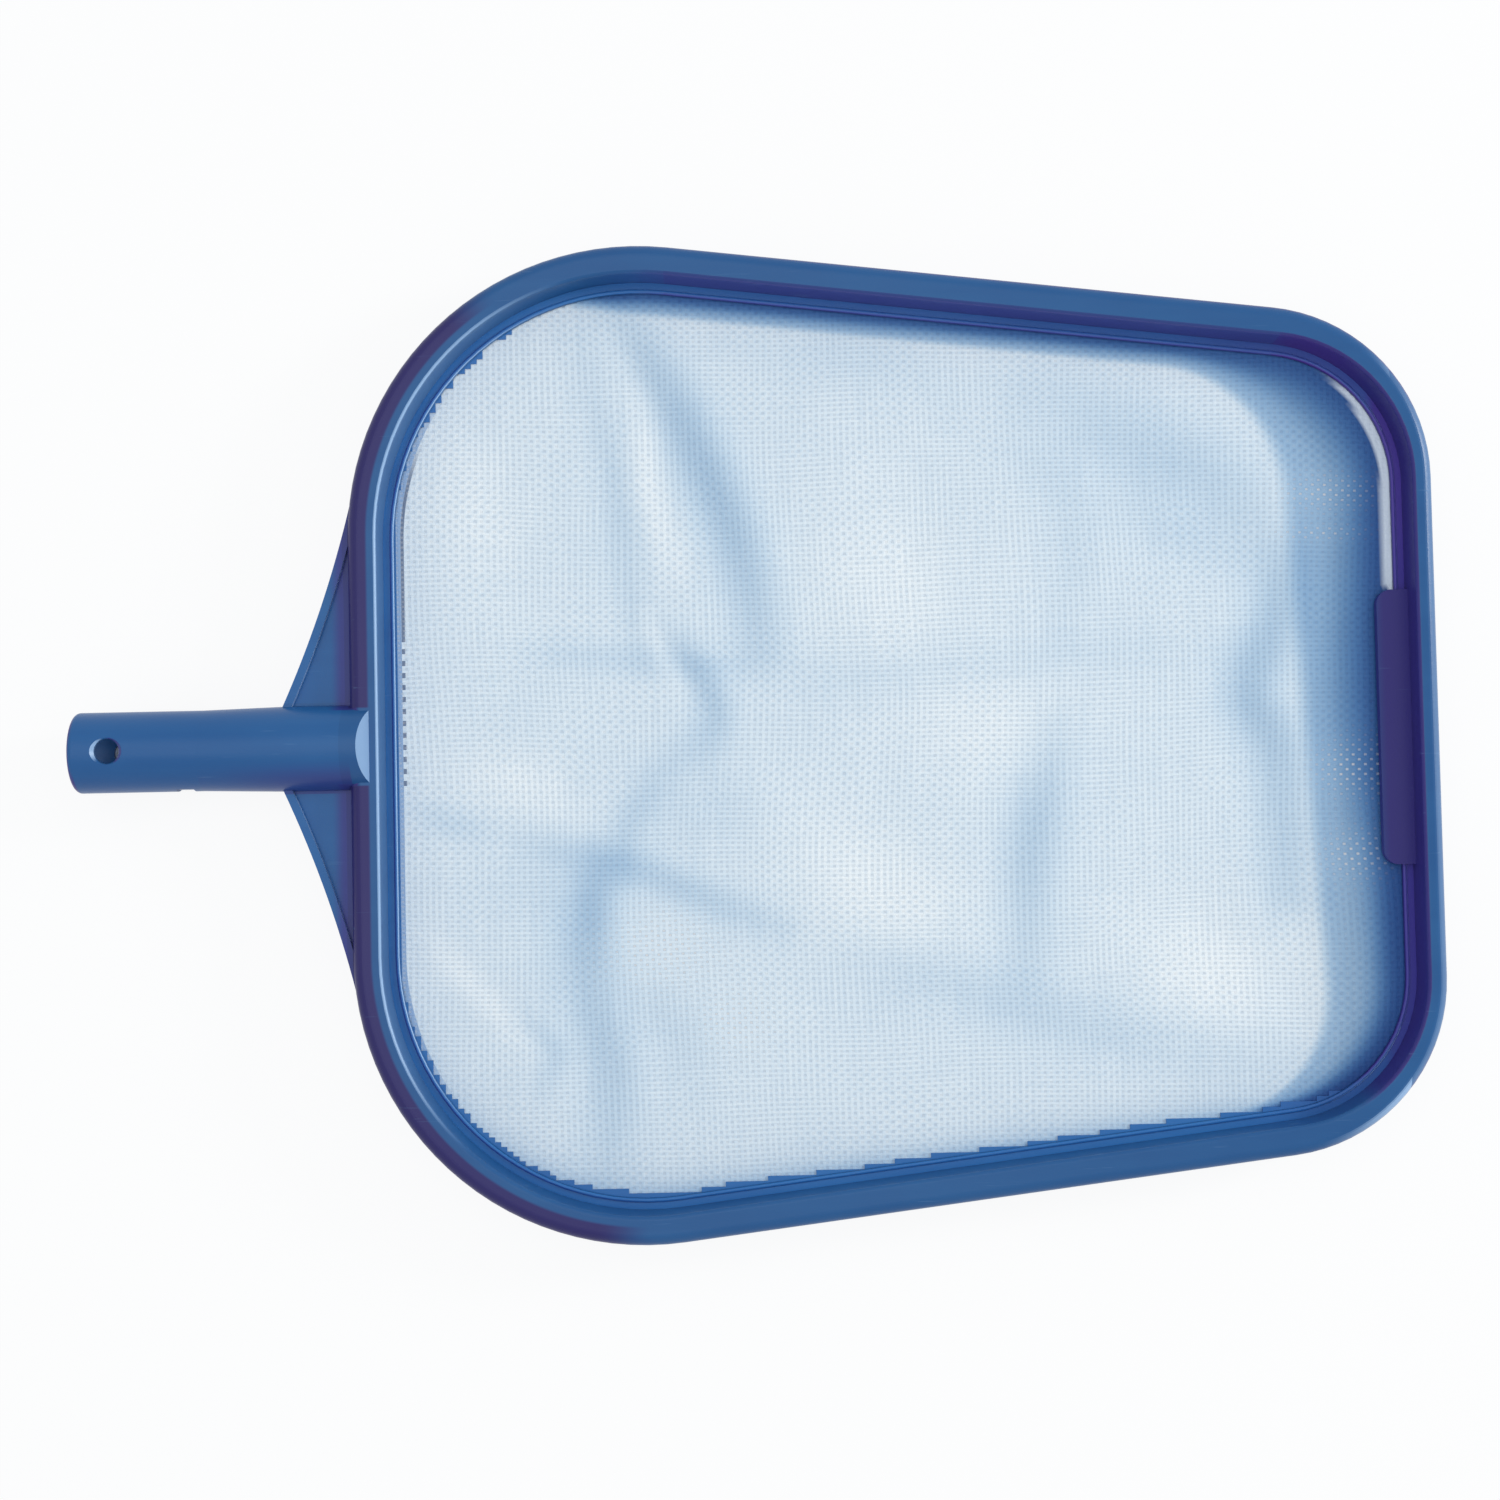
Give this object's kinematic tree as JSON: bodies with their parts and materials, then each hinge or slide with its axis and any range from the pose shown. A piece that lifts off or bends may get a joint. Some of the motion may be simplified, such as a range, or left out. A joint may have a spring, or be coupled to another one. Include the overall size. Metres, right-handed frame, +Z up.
{
  "type": "leaf skimmer net",
  "caption": "Flat leaf skimmer head: a stepped plastic rim on a tapered rounded outline, moulded round a flat net, with a tubular spigot and gussets for a pool pole.",
  "frame": {"origin": "under the middle of the whole part, on the plane of the rim's foot", "axes": "+X from the spigot's free end to the leading edge, +Y to the left seen along +X from above, +Z up, out of the open side of the pan"},
  "size_m": [0.404, 0.296, 0.0257],
  "materials": {
    "rim_plastic": "satin moulded",
    "net_fabric": "fine plain weave"
  },
  "bodies": {
    "root": {"rim": "rim_plastic", "net": "net_fabric", "spigot": "rim_plastic", "left_gusset": "rim_plastic", "right_gusset": "rim_plastic", "edge_tab": "rim_plastic"}
  },
  "joints": []
}
